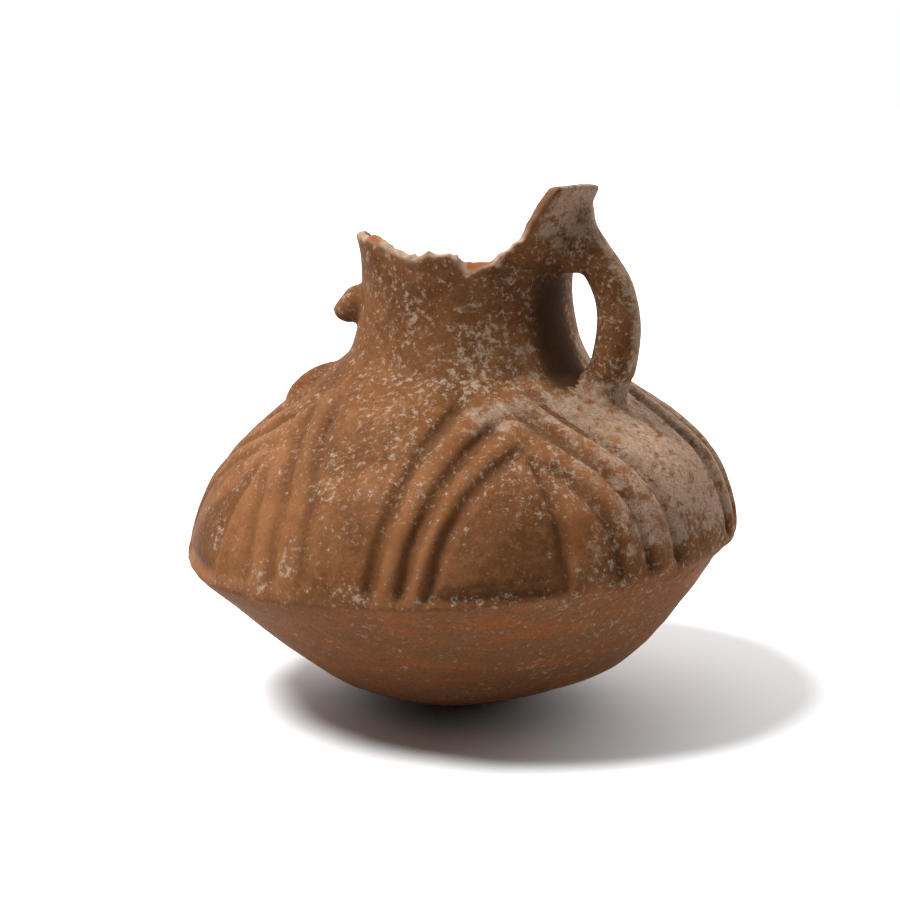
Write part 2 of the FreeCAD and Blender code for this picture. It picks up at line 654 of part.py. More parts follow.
def make_break_tool():
    """What is missing above the broken edge of the neck, as a faceted ring."""
    wall = size("neck_wall")
    rim = size("rim_height")
    middle_radius = size("throat_radius") + wall / 2.0
    inner_reach = size("throat_radius") * BREAK_RING_INSIDE
    outer_reach = size("throat_radius") * BREAK_RING_OUTSIDE
    top = rim + wall
    lows = []
    for azimuth, outer_drop, inner_drop in BREAK_EDGE:
        rise_inward = (outer_drop - inner_drop) / wall
        outer_low = rim - outer_drop - rise_inward * (outer_reach - middle_radius)
        inner_low = rim - inner_drop + rise_inward * (middle_radius - wall - inner_reach)
        lows.append((polar(outer_reach, azimuth, outer_low), polar(inner_reach, azimuth, inner_low)))
    faces = []
    for (outer_a, inner_a), (outer_b, inner_b) in zip(lows, lows[1:] + lows[:1]):
        outer_top_a = Vector(outer_a.x, outer_a.y, top)
        outer_top_b = Vector(outer_b.x, outer_b.y, top)
        inner_top_a = Vector(inner_a.x, inner_a.y, top)
        inner_top_b = Vector(inner_b.x, inner_b.y, top)
        corners = (
            (outer_a, outer_b, inner_a),
            (outer_b, inner_b, inner_a),
            (outer_a, outer_b, outer_top_b, outer_top_a),
            (inner_a, inner_b, inner_top_b, inner_top_a),
            (outer_top_a, outer_top_b, inner_top_b, inner_top_a),
        )
        for outline in corners:
            faces.append(Part.Face(Part.makePolygon(list(outline) + [outline[0]])))
    feature = doc.addObject("Part::Feature", "break_tool")
    feature.Label = "break_tool"
    solid = Part.Solid(Part.Shell(faces))
    solid.fix(0.001, 0.001, 0.001)
    feature.Shape = solid
    place_on_neck_axis(feature)
    return feature


def make_rest_tool():
    """The block under the resting surface, which trims the base to a small flat."""
    block = doc.addObject("Part::Box", "rest_tool")
    block.Label = "rest_tool"
    for side in ("Length", "Width", "Height"):
        block.setExpression(side, "Sizes.rest_radius * 4")
    block.setExpression("Placement.Base.x", "-Sizes.rest_radius * 2")
    block.setExpression("Placement.Base.y", "-Sizes.rest_radius * 2")
    block.setExpression("Placement.Base.z", "-Sizes.rest_radius * 4")
    return block


def fuse(name, pieces):
    feature = doc.addObject("Part::MultiFuse", name)
    feature.Label = name
    feature.Shapes = pieces
    return feature


def cut(name, base, tool):
    feature = doc.addObject("Part::Cut", name)
    feature.Label = name
    feature.Base = base
    feature.Tool = tool
    return feature


def blend_handle_root(name, base):
    """Round the corner where the handle runs into the shoulder."""
    reach = size("handle_reach")
    near = size("handle_diameter")
    root = polar(reach, size("handle_azimuth"), size("handle_root_height"))
    root.x += size("neck_offset")
    doc.recompute()
    edges = []
    for index, edge in enumerate(base.Shape.Edges, start=1):
        if edge.Degenerated:
            continue
        if max((place - root).Length for place in edge.discretize(9)) < near + near / 2.0:
            edges.append((index, size("handle_root_blend"), size("handle_root_blend")))
    feature = doc.addObject("Part::Fillet", name)
    feature.Label = name
    feature.Base = base
    feature.Edges = edges
    return feature


def check(items):
    """Stop if any object of the document failed or any sub-part has no sound shape."""
    for item in doc.Objects:
        if "Invalid" in item.State or "Error" in item.State:
            raise RuntimeError("%s failed: %s" % (item.Label, item.State))
    for item in items:
        if item.Shape.isNull() or not item.Shape.isValid():
            raise RuntimeError("%s has no valid shape" % item.Label)


carved_bowl = cut("carved_bowl", make_bowl(), make_flute_tools())
broken_neck = cut("broken_neck", make_neck(), make_break_tool())
outside = fuse("outside", [carved_bowl, broken_neck, make_handle(), make_stub(), make_lug()])
blended = blend_handle_root("blended", outside)
hollow = fuse("hollow", [make_bowl_hollow(), make_neck_bore()])
shell = cut("shell", blended, hollow)
jug = cut("jug", shell, make_rest_tool())
doc.recompute()
check([jug])

os.makedirs("parts", exist_ok=True)
for part in (jug,):
    part.Shape.exportStep("parts/%s.step" % part.Label)
    box = part.Shape.BoundBox
    print("%s: %d solid(s), %.0f mm3, %.1f x %.1f x %.1f mm" % (
        part.Label, len(part.Shape.Solids), part.Shape.Volume, box.XLength, box.YLength, box.ZLength))
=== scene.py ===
import math

import bmesh
import bpy
import numpy as np
from mathutils import Matrix, Vector


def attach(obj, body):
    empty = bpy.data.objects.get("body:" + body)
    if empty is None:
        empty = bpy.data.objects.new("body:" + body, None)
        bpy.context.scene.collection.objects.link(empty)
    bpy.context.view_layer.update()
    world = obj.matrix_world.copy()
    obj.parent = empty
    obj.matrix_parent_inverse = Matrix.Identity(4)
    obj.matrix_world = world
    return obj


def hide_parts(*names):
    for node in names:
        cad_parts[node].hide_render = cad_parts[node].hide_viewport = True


MM = 0.001

# Sizes of the jug in millimetres and degrees. Azimuths count in plan from the front (-Y) to the right (+X).
BOWL_RADIUS = 106.0
WAIST_HEIGHT = 62.6
BOWL_LEAN = 3.4
BOWL_CONE_SLOPE = 46.0
BASE_CURVE = 125.0
REST_RADIUS = 16.0
SHOULDER_CURVE = 52.0
SHOULDER_SLOPE = 36.0
WALL = 5.0
NECK_OFFSET = 5.0
THROAT_RADIUS = 39.7
THROAT_HEIGHT = 159.0
FOOT_FLARE_CURVE = 58.0
MOUTH_FLARE_CURVE = 69.0
HANDLE_AZIMUTH = 60.0

# Each flute of a chevron: radius and azimuth of its top, azimuth of its foot, from the chevron's middle
FLUTES = {
    "left_outer": (54.0, -11.0, -33.5),
    "left_middle": (64.0, 0.0, -27.0),
    "left_inner": (75.0, 5.0, -21.5),
    "right_inner": (77.0, 4.0, 5.5),
    "right_second": (83.0, 6.5, 18.0),
    "right_third": (60.0, 5.0, 25.0),
    "right_outer": (55.0, 14.5, 33.0),
}
RIDGES = (
    ("left_outer", "left_middle"),
    ("left_middle", "left_inner"),
    ("right_inner", "right_second"),
    ("right_second", "right_third"),
    ("right_third", "right_outer"),
)
CHEVRONS = (15.0, 104.0, 199.0, 294.0)
FLUTE_FOOT_RISE = 5.0

# How far the inner panel of a chevron reaches above the waist
PANEL_RISE = 46.0

# How dark the plain shoulder between two chevrons is, next to an inner panel
PLAIN_SHADE = 0.45

# Azimuth of the painted shade on the neck beside the handle, a dark strip
HANDLE_SHADE_AZIMUTH = 51.0

# Larger lime patches: azimuth and height of the middle, half width in degrees, half height, strength; the
# first is a painted highlight, the sheen on the left front shoulder
LIME_AND_SHEEN_PATCHES = (
    # Painted highlight: the sheen on the left front shoulder, drawn as pale flakes
    (-20.0, 102.0, 8.0, 12.0, 0.30),
    (-37.5, 77.0, 2.6, 11.0, 0.65),
    (-44.0, 70.0, 2.2, 7.0, 0.60),
    (-62.0, 80.0, 2.6, 6.0, 0.50),
    (-22.5, 68.5, 4.0, 4.0, 0.60),
    (-56.0, 66.0, 5.0, 3.5, 0.45),
    (-33.0, 100.0, 3.0, 9.0, 0.30),
    (3.5, 65.5, 9.0, 1.6, 0.55),
    (-28.0, 122.0, 12.0, 6.0, 0.25),
    (0.0, 132.0, 24.0, 5.0, 0.35),
    (-20.0, 152.0, 12.0, 9.0, 0.25),
    (12.0, 145.0, 16.0, 9.0, 0.35),
    (28.0, 72.0, 8.0, 9.0, 0.25),
)

# How the hand-built outline strays from a turned one: height, then the shift of its left and right side
OUTLINE_STRAY = (
    (0.0, 4.0, -1.5),
    (4.0, 4.6, -2.0),
    (10.0, 3.6, -0.8),
    (18.0, 1.8, 1.8),
    (26.0, 0.0, 3.6),
    (35.0, -1.1, 3.6),
    (44.0, -1.3, 1.6),
    (51.0, -2.6, 0.2),
    (58.0, -1.6, -1.4),
    (62.0, -0.6, -3.0),
    (70.0, 0.6, -1.6),
    (78.0, 1.3, -0.6),
    (92.0, 2.5, 0.2),
    (101.0, 0.5, 0.3),
    (111.0, -1.0, 0.0),
    (122.0, 0.0, 0.0),
    (140.0, 0.0, -0.9),
    (156.0, 0.0, -0.5),
    (170.0, 0.0, 0.0),
)

# Local swells and dents: where, how wide, and how far the surface moves there
SWELLS = (
    ((29.0, -38.0, 191.0), 9.0, (-2.4, 0.0, 0.0)),
    ((26.0, -38.0, 180.0), 7.0, (-1.0, 0.0, 0.0)),
    ((54.0, -23.0, 196.5), 4.5, (2.0, -0.4, -0.2)),
    ((56.0, -25.0, 188.0), 7.0, (-1.7, 0.0, 0.0)),
    ((59.0, -28.0, 181.0), 11.0, (-2.0, 0.0, 0.0)),
    ((62.0, -33.0, 144.0), 14.0, (1.7, 0.0, 0.0)),
    ((-48.0, 3.0, 156.0), 5.0, (0.8, 0.0, -1.4)),
    ((-103.0, 0.0, 55.0), 16.0, (0.0, 0.0, -1.8)),
    ((103.0, 0.0, 66.0), 16.0, (0.0, 0.0, 1.2)),
)

# Wear of the neck's break: azimuth, then how far its outer and inner edge move up
BREAK_WEAR = (
    (-105.0, 0.9, 0.9),
    (-89.0, -0.4, -0.1),
    (-77.0, -0.4, -0.9),
    (-65.0, 1.4, 1.3),
    (-53.0, 1.9, 1.0),
    (-45.0, 1.3, 0.0),
    (-37.0, 0.7, -0.3),
    (-29.0, -0.8, -1.4),
    (-17.0, -0.5, -0.7),
    (-10.0, -0.6, 0.3),
    (-5.0, 0.2, 2.4),
    (-1.0, -1.2, 2.2),
    (5.0, -0.5, 0.6),
    (15.0, 1.0, -0.7),
    (23.0, 1.4, -1.5),
    (32.0, 0.0, -1.6),
    (38.0, 0.0, 0.0),
)

# The broken part of the neck starts above this height; the lip beside the handle is whole
BREAK_LOWEST = 140.0
WHOLE_LIP_AZIMUTH = 51.0
WHOLE_LIP_HALF_WIDTH = 13.0
WHOLE_LIP_HEIGHT = 197.0
BREAK_WEAR_DEPTH = 9.0
BREAK_WEAR_FULL = 2.0
BREAK_BIN = 3.0

# Heights that part the neck from the bowl and the handle from its foot
NECK_FOOT_HEIGHT = 128.0
HANDLE_FOOT_HEIGHT = 130.0

# Flutes on the skin: half widths of groove and crease, and the spans over which a ridge fades out
GROOVE_WIDTH = 3.4
CREASE_WIDTH = 1.7
RIDGE_NARROW = 15.0
RIDGE_WIDE = 21.0
CHEVRON_REACH = 44.0

# How strongly the skin is reworked, in millimetres
SWELL_WIDE = (0.35, 55.0, 4)
SWELL_FINE = (0.12, 17.0, 9)
RIDGE_LIFT = 0.9
GROOVE_CUT = 0.3
CREASE_CUT = 0.8
SOFT_GROOVE_LIFT = 0.7
HANDLE_LIFT = 0.5

# Clay smeared over the joins of handle and stub with the neck: middle and half sizes
JOINS = (
    ((42.5, -23.5, 175.0), (9.0, 9.0, 8.0)),
    ((-37.0, 3.0, 152.0), (7.0, 6.5, 7.0)),
)
JOIN_REACH = 15.0

# Places where the solid is sharper than the old clay: the whole lip's end and two splinters of the break
ROUNDED_CORNERS = (
    ((54.0, -24.0, 201.0), 8.0),
    ((-43.0, 3.0, 153.0), 7.0),
    ((-10.7, -38.5, 179.0), 4.5),
    ((-15.5, -36.5, 177.5), 4.0),
)

# Mesh: welding distance and size of the remeshed cells in millimetres, and how many faces stay
WELD = 0.02
CELL = 0.95
MOST_TRIANGLES = 190000

# Smoothing of the skin: how far a point moves each round, how much less on the break, and the rounds
SMOOTHING = 0.5
SMOOTHING_SPARED = 0.3
SMOOTHING_ROUNDS = 7
JOIN_ROUNDS = 24


def smooth_step(low, high, values):
    share = np.clip((values - low) / (high - low), 0.0, 1.0)
    return share * share * (3.0 - 2.0 * share)


def bump_at(values, centre, width):
    return np.exp(-((values - centre) / width) ** 2)


def azimuth_gap(first, second):
    """Signed difference of two azimuths in degrees, from -180 to 180."""
    return (first - second + 180.0) % 360.0 - 180.0


class Places:
    """Where points lie on the jug, in millimetres and degrees."""

    def __init__(self, points):
        lean = math.radians(BOWL_LEAN)
        base_x = BASE_CURVE * math.sin(lean)
        base_z = math.sqrt(BASE_CURVE ** 2 - REST_RADIUS ** 2) - BASE_CURVE * math.cos(lean)
        x = points[:, 0] - base_x
        z = points[:, 2] - base_z
        self.bowl = np.column_stack((
            x * math.cos(lean) + z * math.sin(lean),
            points[:, 1],
            z * math.cos(lean) - x * math.sin(lean),
        ))
        self.bowl_azimuth = np.degrees(np.arctan2(self.bowl[:, 0], -self.bowl[:, 1]))
        self.bowl_radius = np.hypot(self.bowl[:, 0], self.bowl[:, 1])
        self.bowl_height = self.bowl[:, 2]
        self.neck_azimuth = np.degrees(np.arctan2(points[:, 0] - NECK_OFFSET, -points[:, 1]))
        self.neck_radius = np.hypot(points[:, 0] - NECK_OFFSET, points[:, 1])
        self.height = points[:, 2]


def shoulder_height(radius):
    """Height of the shoulder's surface over the bowl's own base, at a radius from its axis."""
    centre_radius = BOWL_RADIUS - SHOULDER_CURVE
    top_angle = math.radians(90.0 - SHOULDER_SLOPE)
    cone_radius = centre_radius + SHOULDER_CURVE * math.cos(top_angle)
    cone_height = WAIST_HEIGHT + SHOULDER_CURVE * math.sin(top_angle)
    if radius <= cone_radius:
        return cone_height + (cone_radius - radius) * math.tan(math.radians(SHOULDER_SLOPE))
    across = min((radius - centre_radius) / SHOULDER_CURVE, 1.0)
    return WAIST_HEIGHT + SHOULDER_CURVE * math.sqrt(1.0 - across * across)


def shoulder_radius(rise):
    centre_radius = BOWL_RADIUS - SHOULDER_CURVE
    return centre_radius + math.sqrt(SHOULDER_CURVE ** 2 - rise ** 2)


def plan_point(radius, azimuth):
    angle = math.radians(azimuth)
    return np.array((radius * math.sin(angle), -radius * math.cos(angle)))


def flute_line(chevron, name, steps=14):
    """Points along a flute's middle line, on the shoulder, in the bowl's own frame."""
    top_radius, top_azimuth, foot_azimuth = FLUTES[name]
    top = plan_point(top_radius, chevron + top_azimuth)
    foot = plan_point(shoulder_radius(FLUTE_FOOT_RISE), chevron + foot_azimuth)
    line = []
    for share in np.linspace(0.0, 1.0, steps):
        place = top + (foot - top) * share
        line.append((place[0], place[1], shoulder_height(float(np.hypot(*place)))))
    return np.array(line)


def line_distance(points, line):
    """Distance from each point to a polyline, and how far along it the nearest place is, 0 to 1."""
    best = np.full(len(points), 1e9)
    along = np.zeros(len(points))
    count = len(line) - 1
    for index in range(count):
        step = line[index + 1] - line[index]
        offset = points - line[index]
        share = np.clip(offset @ step / (step @ step), 0.0, 1.0)
        gap = np.linalg.norm(offset - share[:, None] * step, axis=1)
        nearer = gap < best
        best[nearer] = gap[nearer]
        along[nearer] = (index + share[nearer]) / count
    return best, along


def flute_fields(places):
    """How deep in a groove, in its crease, how high on a ridge and in how soft a chevron points lie."""
    groove = np.zeros(len(places.height))
    crease = np.zeros(len(places.height))
    ridge = np.zeros(len(places.height))
    soft = np.zeros(len(places.height))
    on_shoulder = (places.bowl_height > WAIST_HEIGHT - 4.0) & (places.bowl_radius > 50.0)
    for chevron in CHEVRONS:
        near = on_shoulder & (np.abs(azimuth_gap(places.bowl_azimuth, chevron)) < CHEVRON_REACH)
        chosen = np.flatnonzero(near)
        points = places.bowl[chosen]
        gaps = {}
        for name in FLUTES:
            gaps[name], along = line_distance(points, flute_line(chevron, name))
            ends = smooth_step(0.0, 0.12, along)
            groove[chosen] = np.maximum(groove[chosen], bump_at(gaps[name], 0.0, GROOVE_WIDTH) * ends)
            crease[chosen] = np.maximum(crease[chosen], bump_at(gaps[name], 0.0, CREASE_WIDTH) * ends)
        for first, second in RIDGES:
            both = gaps[first] + gaps[second]
            share = gaps[first] / np.maximum(both, 1e-6)
            middle = np.clip(4.0 * share * (1.0 - share), 0.0, 1.0) ** 1.5
            between = middle * (1.0 - smooth_step(RIDGE_NARROW, RIDGE_WIDE, both))
            ridge[chosen] = np.maximum(ridge[chosen], between)
        soft[chosen] = 1.0 if chevron == CHEVRONS[-1] else 0.0
    return groove, crease, ridge, soft


def panel_field(places):
    """1 on the smooth panel inside each chevron, fading out at its grooves, and less between chevrons."""
    rise = places.bowl_height - WAIST_HEIGHT
    gaps = [np.abs(azimuth_gap(places.bowl_azimuth, chevron)) for chevron in CHEVRONS]
    total = PLAIN_SHADE * smooth_step(30.0, 37.0, np.min(gaps, axis=0)) * smooth_step(46.0, 26.0, rise)
    for chevron in CHEVRONS:
        gap = azimuth_gap(places.bowl_azimuth, chevron)
        narrowing = np.clip(rise / PANEL_RISE, 0.0, 1.0)
        left = FLUTES["left_inner"][2] + (FLUTES["left_inner"][1] - FLUTES["left_inner"][2]) * narrowing
        right = FLUTES["right_inner"][2]
        across = smooth_step(left, left + 4.0, gap) * (1.0 - smooth_step(right - 4.0, right, gap))
        total = np.maximum(total, across)
    return total * smooth_step(WAIST_HEIGHT - 1.0, WAIST_HEIGHT + 2.0, places.bowl_height)


def crust_and_lit_side_field(places, normals):
    """Where pale crust clings: the right shoulder, round the neck's foot and the handle's outer side; on
    the handle it keeps to the side facing right and up, partly as painted light.
    """
    azimuth = places.bowl_azimuth
    rise = places.bowl_height - WAIST_HEIGHT
    right = smooth_step(16.0, 40.0, azimuth) * (1.0 - smooth_step(95.0, 125.0, azimuth))
    shoulder = right * smooth_step(4.0, 14.0, rise) * (0.75 + 0.25 * smooth_step(30.0, 48.0, azimuth))
    collar = smooth_step(-8.0, 12.0, azimuth) * (1.0 - smooth_step(95.0, 125.0, azimuth))
    collar = collar * smooth_step(50.0, 56.0, rise) * (1.0 - smooth_step(60.0, 66.0, rise)) * 0.9
    reach = places.neck_radius - neck_outer_radius(places.height)
    on_handle = smooth_step(2.0, 6.0, reach) * smooth_step(126.0, 134.0, places.height)
    on_handle = on_handle * (np.abs(azimuth_gap(places.neck_azimuth, HANDLE_AZIMUTH)) < 22.0)
    # Painted light: on the handle the crust keeps to the side facing right, back and up, where light falls
    lit_outer_side = smooth_step(-0.3, 0.4, normals @ np.array((0.80, 0.30, 0.52)))
    tongue = smooth_step(172.0, 184.0, places.height) * smooth_step(34.0, 42.0, places.neck_azimuth)
    bowl = np.maximum(shoulder, collar) * (1.0 - smooth_step(0.0, 5.0, places.height - 140.0))
    return np.maximum(np.maximum(bowl * (1.0 - on_handle), on_handle * lit_outer_side), tongue)


def handle_shade_field(places):
    """The painted shade on the neck beside the handle: a dark strip where the handle shades the neck."""
    across = 1.0 - smooth_step(8.0, 22.0, np.abs(azimuth_gap(places.neck_azimuth, HANDLE_SHADE_AZIMUTH)))
    along = smooth_step(108.0, 120.0, places.height) * (1.0 - smooth_step(160.0, 178.0, places.height))
    on_neck = np.abs(places.neck_radius - neck_outer_radius(places.height)) < 4.0
    return across * along * on_neck


def lime_and_sheen_field(places):
    """How thickly lime flakes lie: a base that changes with the zone, and the larger patches, the first of
    them a painted highlight.
    """
    azimuth = places.bowl_azimuth
    rise = places.bowl_height - WAIST_HEIGHT
    density = 0.52 + 0.22 * smooth_step(20.0, 45.0, rise)
    density = density + 0.07 * smooth_step(0.0, -4.0, rise)
    density = density + 0.15 * smooth_step(10.0, 0.0, rise) * smooth_step(-2.0, 0.0, rise)
    density = density + 0.15 * smooth_step(0.0, 25.0, azimuth) * (1.0 - smooth_step(100.0, 130.0, azimuth))
    for middle, height, half_width, half_height, strength in LIME_AND_SHEEN_PATCHES:
        across = azimuth_gap(azimuth, middle) / half_width
        along = (places.bowl_height - height) / half_height
        density = density + strength * np.exp(-(across ** 2 + along ** 2))
    return np.clip(density, 0.0, 1.3)


def unevenness(points, scale, seed):
    """A gentle random swell, about -1 to 1, from a few crossing waves."""
    random = np.random.default_rng(seed)
    total = np.zeros(len(points))
    for _ in range(9):
        direction = random.normal(size=3)
        direction /= np.linalg.norm(direction)
        wave = scale * random.uniform(0.7, 1.6)
        total += np.sin(points @ direction * (2.0 * math.pi / wave) + random.uniform(0.0, 6.28))
    return total / 3.0


def mesh_points(mesh):
    flat = np.empty(len(mesh.vertices) * 3, np.float32)
    mesh.vertices.foreach_get("co", flat)
    return flat.reshape(-1, 3).astype(float) / MM


def mesh_normals(mesh):
    flat = np.empty(len(mesh.vertices) * 3, np.float32)
    mesh.vertex_normals.foreach_get("vector", flat)
    return flat.reshape(-1, 3).astype(float)


def set_points(mesh, points):
    mesh.vertices.foreach_set("co", (points * MM).astype(np.float32).ravel())
    mesh.update()


def with_modifier(piece, kind, **settings):
    """Apply one modifier to a piece's mesh."""
    modifier = piece.modifiers.new(kind.title(), kind)
    for key, value in settings.items():
        setattr(modifier, key, value)
    graph = bpy.context.evaluated_depsgraph_get()
    mesh = bpy.data.meshes.new_from_object(piece.evaluated_get(graph))
    piece.modifiers.clear()
    piece.data = mesh
    return mesh


def smoothed(points, edges, weight, rounds):
    """Move each point towards the mean of its neighbours, by its own weight, some rounds."""
    count = len(points)
    degree = np.bincount(edges.ravel(), minlength=count).astype(float)
    first = edges[:, 0]
    second = edges[:, 1]
    for _ in range(rounds):
        mean = np.empty_like(points)
        for axis in range(3):
            total = np.bincount(first, points[second, axis], minlength=count)
            total += np.bincount(second, points[first, axis], minlength=count)
            mean[:, axis] = total / degree
        points = points + (mean - points) * weight[:, None]
    return points


def mesh_edges(mesh):
    flat = np.empty(len(mesh.edges) * 2, np.int32)
    mesh.edges.foreach_get("vertices", flat)
    return flat.reshape(-1, 2)


def neck_outer_radius(height):
    """Radius of the neck's outer surface at a height."""
    curve = np.where(height < THROAT_HEIGHT, FOOT_FLARE_CURVE, MOUTH_FLARE_CURVE)
    rise = np.clip(np.abs(height - THROAT_HEIGHT), 0.0, curve - 1.0)
    return THROAT_RADIUS + curve - np.sqrt(curve ** 2 - rise ** 2)


def on_break(places):
    """How much each point belongs to the broken face of the neck's wall, 0 to 1."""
    outer = neck_outer_radius(places.height)
    depth = outer - places.neck_radius
    in_wall = smooth_step(0.3, 1.1, depth) * (1.0 - smooth_step(WALL - 1.1, WALL - 0.3, depth))
    away_from_handle = 1.0 - bump_at(azimuth_gap(places.neck_azimuth, HANDLE_AZIMUTH), 0.0, 1.0)
    whole_lip = np.abs(azimuth_gap(places.neck_azimuth, WHOLE_LIP_AZIMUTH)) < WHOLE_LIP_HALF_WIDTH
    whole_lip = whole_lip & (places.height > WHOLE_LIP_HEIGHT)
    return in_wall * away_from_handle * (places.height > BREAK_LOWEST) * ~whole_lip


def is_inside(places):
    """True where a point lies on the hollow's side of the wall."""
    neck = places.neck_radius < neck_outer_radius(places.height) - WALL * 0.55
    upper = (places.height > NECK_FOOT_HEIGHT) & neck
    radius = places.bowl_radius
    cone_rise = math.tan(math.radians(BOWL_CONE_SLOPE))
    cone_radius = BOWL_RADIUS - (WAIST_HEIGHT - places.bowl_height) / cone_rise
    rise = np.clip(places.bowl_height - WAIST_HEIGHT, 0.0, SHOULDER_CURVE * 0.999)
    dome_radius = BOWL_RADIUS - SHOULDER_CURVE + np.sqrt(SHOULDER_CURVE ** 2 - rise ** 2)
    top_angle = math.radians(90.0 - SHOULDER_SLOPE)
    top_rise = SHOULDER_CURVE * math.sin(top_angle)
    top_radius = BOWL_RADIUS - SHOULDER_CURVE + SHOULDER_CURVE * math.cos(top_angle)
    over_top = places.bowl_height - WAIST_HEIGHT - top_rise
    slope_radius = top_radius - over_top / math.tan(math.radians(SHOULDER_SLOPE))
    outline = np.where(places.bowl_height < WAIST_HEIGHT, cone_radius, dome_radius)
    outline = np.where(rise > top_rise, slope_radius, outline)
    base_radius = np.sqrt(np.clip(BASE_CURVE ** 2 - (BASE_CURVE - places.bowl_height) ** 2, 0.0, None))
    outline = np.minimum(outline, base_radius)
    lower = (places.height <= NECK_FOOT_HEIGHT) & (radius < outline - 3.4)
    deep = (places.bowl_height > 3.0) & (places.bowl_height < 12.0) & (radius < 30.0)
    return upper | lower | deep


def nearness(points, place, reach):
    """1 at a place, falling softly to 0 beyond its reach."""
    return np.exp(-(np.linalg.norm(points - np.array(place), axis=1) / reach) ** 2)


def strayed(points):
    """Shift the outline's left and right side as the hand-built jug strays from a turned one."""
    rows = np.array(OUTLINE_STRAY)
    left = np.interp(points[:, 2], rows[:, 0], rows[:, 1])
    right = np.interp(points[:, 2], rows[:, 0], rows[:, 2])
    share = smooth_step(-60.0, 60.0, points[:, 0])
    moved = points.copy()
    moved[:, 0] += left * (1.0 - share) + right * share
    for place, reach, shift in SWELLS:
        moved += nearness(points, place, reach)[:, None] * np.array(shift)
    return moved


def worn_break(points):
    """Raise or lower the break's outer and inner edge, less and less further down the wall."""
    places = Places(points)
    in_neck = places.neck_radius < neck_outer_radius(places.height) + 1.0
    upper = in_neck & (places.height > BREAK_LOWEST)
    bins = ((places.neck_azimuth + 180.0) / BREAK_BIN).astype(int)
    tops = np.zeros(int(360.0 / BREAK_BIN) + 1)
    np.maximum.at(tops, bins[upper], places.height[upper])
    below = np.clip(tops[bins] - places.height, 0.0, None)
    depth = neck_outer_radius(places.height) - places.neck_radius
    inward = np.clip(depth / WALL, 0.0, 1.0)
    rows = np.array(BREAK_WEAR)
    outer = np.interp(places.neck_azimuth, rows[:, 0], rows[:, 1], left=0.0, right=0.0)
    inner = np.interp(places.neck_azimuth, rows[:, 0], rows[:, 2], left=0.0, right=0.0)
    near_edge = smooth_step(BREAK_WEAR_DEPTH, BREAK_WEAR_FULL, below)
    lift = (outer * (1.0 - inward) + inner * inward) * near_edge
    moved = points.copy()
    moved[:, 2] += lift * upper
    return moved


def add_ball(mesh, place, half_sizes):
    """Add a rounded lump to a mesh; the remeshing then merges it with what it touches."""
    build = bmesh.new()
    build.from_mesh(mesh)
    stretch = Matrix.Diagonal((*(half * MM for half in half_sizes), 1.0))
    shape = Matrix.Translation(Vector(place) * MM) @ stretch
    bmesh.ops.create_icosphere(build, subdivisions=3, radius=1.0, matrix=shape)
    build.to_mesh(mesh)
    build.free()


def make_jug(node):
    """The jug's visible skin: the solid's own form with the softness and wear of old clay."""
    jug = bpy.data.objects.new("jug_clay", node.data.copy())
    bpy.context.scene.collection.objects.link(jug)
    mesh = with_modifier(jug, "WELD", merge_threshold=WELD * MM)
    for place, half_sizes in JOINS:
        add_ball(mesh, place, half_sizes)
    mesh = with_modifier(jug, "REMESH", mode="VOXEL", voxel_size=CELL * MM, adaptivity=0.0)
    points = mesh_points(mesh)
    edges = mesh_edges(mesh)
    normals = mesh_normals(mesh)
    places = Places(points)
    broken = on_break(places)
    crisp = smooth_step(0.0, 0.4, broken)
    points = smoothed(points, edges, SMOOTHING - SMOOTHING_SPARED * crisp, SMOOTHING_ROUNDS)
    near_join = nearness(points, JOINS[0][0], JOIN_REACH) * (1.0 - crisp)
    near_corner = np.max([nearness(points, *corner) for corner in ROUNDED_CORNERS], axis=0)
    points = smoothed(points, edges, np.maximum(near_join, near_corner), JOIN_ROUNDS)

    places = Places(points)
    groove, crease, ridge, soft = flute_fields(places)
    inside = is_inside(places)
    outside = 1.0 - inside.astype(float)
    swell = np.zeros(len(points))
    for height, scale, seed in (SWELL_WIDE, SWELL_FINE):
        swell = swell + height * unevenness(points, scale, seed)
    raised = RIDGE_LIFT * ridge * (1.0 - 0.5 * soft)
    carved = raised - (GROOVE_CUT * groove + CREASE_CUT * crease) * (1.0 - soft)
    lift = outside * (swell + carved)
    lift += outside * soft * groove * SOFT_GROOVE_LIFT
    reach = places.neck_radius - neck_outer_radius(places.height)
    lift += HANDLE_LIFT * smooth_step(2.0, 6.0, reach) * (places.height > HANDLE_FOOT_HEIGHT)
    points = points + normals * (lift * (1.0 - crisp))[:, None]
    set_points(mesh, points)

    # The fields are read off the even shape, before the outline strays from it
    share = MOST_TRIANGLES / (2.0 * len(mesh.polygons))
    mesh = with_modifier(jug, "DECIMATE", ratio=min(share, 1.0))
    mesh.polygons.foreach_set("use_smooth", np.ones(len(mesh.polygons), bool))
    add_fields(mesh)
    points = strayed(worn_break(mesh_points(mesh)))
    points[:, 2] = np.clip(points[:, 2], 0.0, None)
    set_points(mesh, points)
    return jug


def add_fields(mesh):
    """Keep on the mesh what the clay's material reads about each place."""
    points = mesh_points(mesh)
    normals = mesh_normals(mesh)
    places = Places(points)
    groove, crease, ridge, soft = flute_fields(places)
    inside = is_inside(places).astype(float)
    fields = {
        "groove": groove * (1.0 - 0.6 * soft),
        "crease": crease * (1.0 - 0.8 * soft),
        "ridge": ridge,
        "panel": panel_field(places),
        "crust_and_lit_side": crust_and_lit_side_field(places, normals) * (1.0 - inside) * (1.0 - handle_shade_field(places)),
        "lime_and_sheen": lime_and_sheen_field(places),
        "handle_shade": handle_shade_field(places),
        "broken": on_break(places),
        "inside": inside,
    }
    for name, values in fields.items():
        attribute = mesh.attributes.new(name, "FLOAT", "POINT")
        attribute.data.foreach_set("value", values.astype(np.float32))


